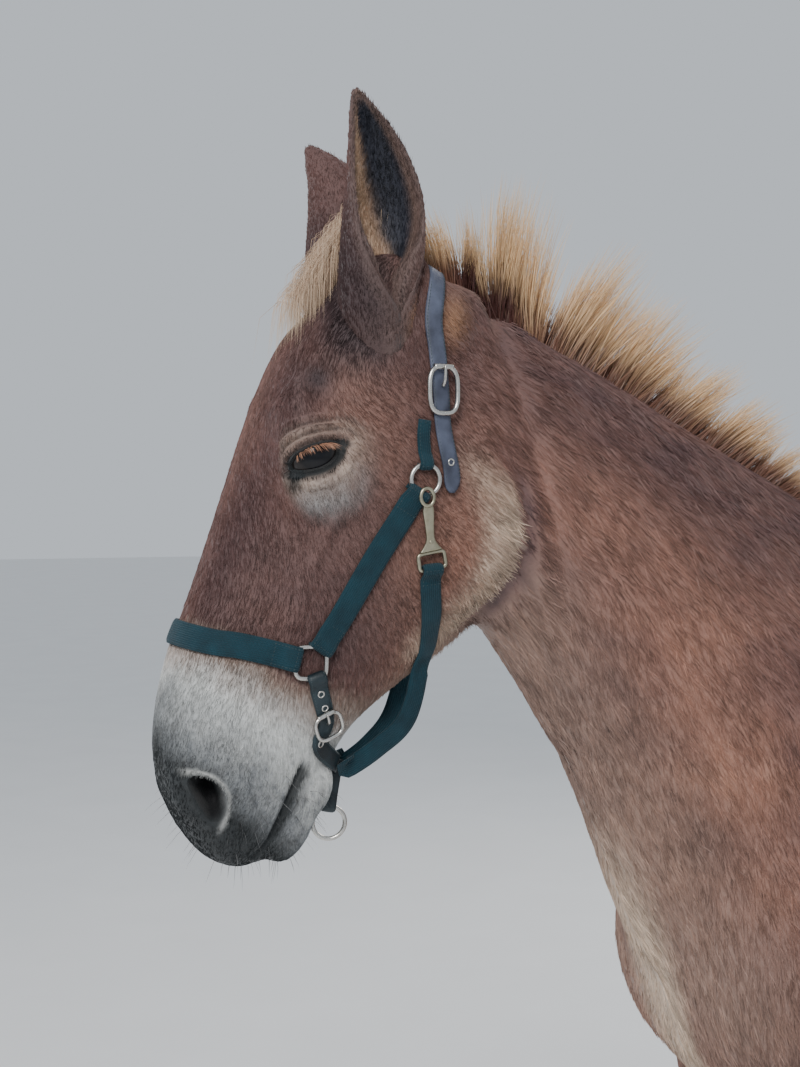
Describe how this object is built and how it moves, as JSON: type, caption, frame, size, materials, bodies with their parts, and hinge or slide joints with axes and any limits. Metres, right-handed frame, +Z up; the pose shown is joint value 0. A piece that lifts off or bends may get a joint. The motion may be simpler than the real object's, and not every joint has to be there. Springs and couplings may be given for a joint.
{
  "type": "standing mule",
  "caption": "Life-size standing mule at rest, in a webbing halter with a lead ring, long ears, roached mane and full tail, as a still model.",
  "frame": {"origin": "middle of the footprint of the bounding box, on the ground", "axes": "+Z up, +X from the head towards the tail, +Y towards the animal's right side"},
  "size_m": [2.0824, 0.5726, 1.9807],
  "materials": {
    "ear": "short dense hair",
    "eye": "wet gloss",
    "long_hair": "coarse flaxen hair",
    "webbing": "ribbed nylon webbing",
    "metal": "nickel plate",
    "leather": "dark oiled leather",
    "coat": "short hair, satin",
    "hoof": "dull horn"
  },
  "bodies": {
    "root": {"ear_left": "ear", "ear_right": "ear", "eye_left": "eye", "eye_right": "eye", "forelock": "long_hair", "halter_cheek_left": "webbing", "halter_cheek_right": "webbing", "halter_chin_buckle": "metal", "halter_chin_strap": "leather", "halter_crown": "leather", "halter_crown_buckle": "metal", "halter_lead_ring": "metal", "halter_noseband": "webbing", "halter_ring_left": "metal", "halter_ring_right": "metal", "halter_snap": "metal", "halter_square_left": "metal", "halter_square_right": "metal", "halter_tab": "webbing", "halter_throat_left": "webbing", "halter_throat_right": "webbing", "head": "coat", "hoof_front_left": "hoof", "hoof_front_right": "hoof", "hoof_hind_left": "hoof", "hoof_hind_right": "hoof", "leg_front_left_lower": "coat", "leg_front_left_upper": "coat", "leg_front_right_lower": "coat", "leg_front_right_upper": "coat", "leg_hind_left_lower": "coat", "leg_hind_left_upper": "coat", "leg_hind_right_lower": "coat", "leg_hind_right_upper": "coat", "mane": "long_hair", "neck": "coat", "tail": "long_hair", "torso": "coat"}
  },
  "joints": []
}
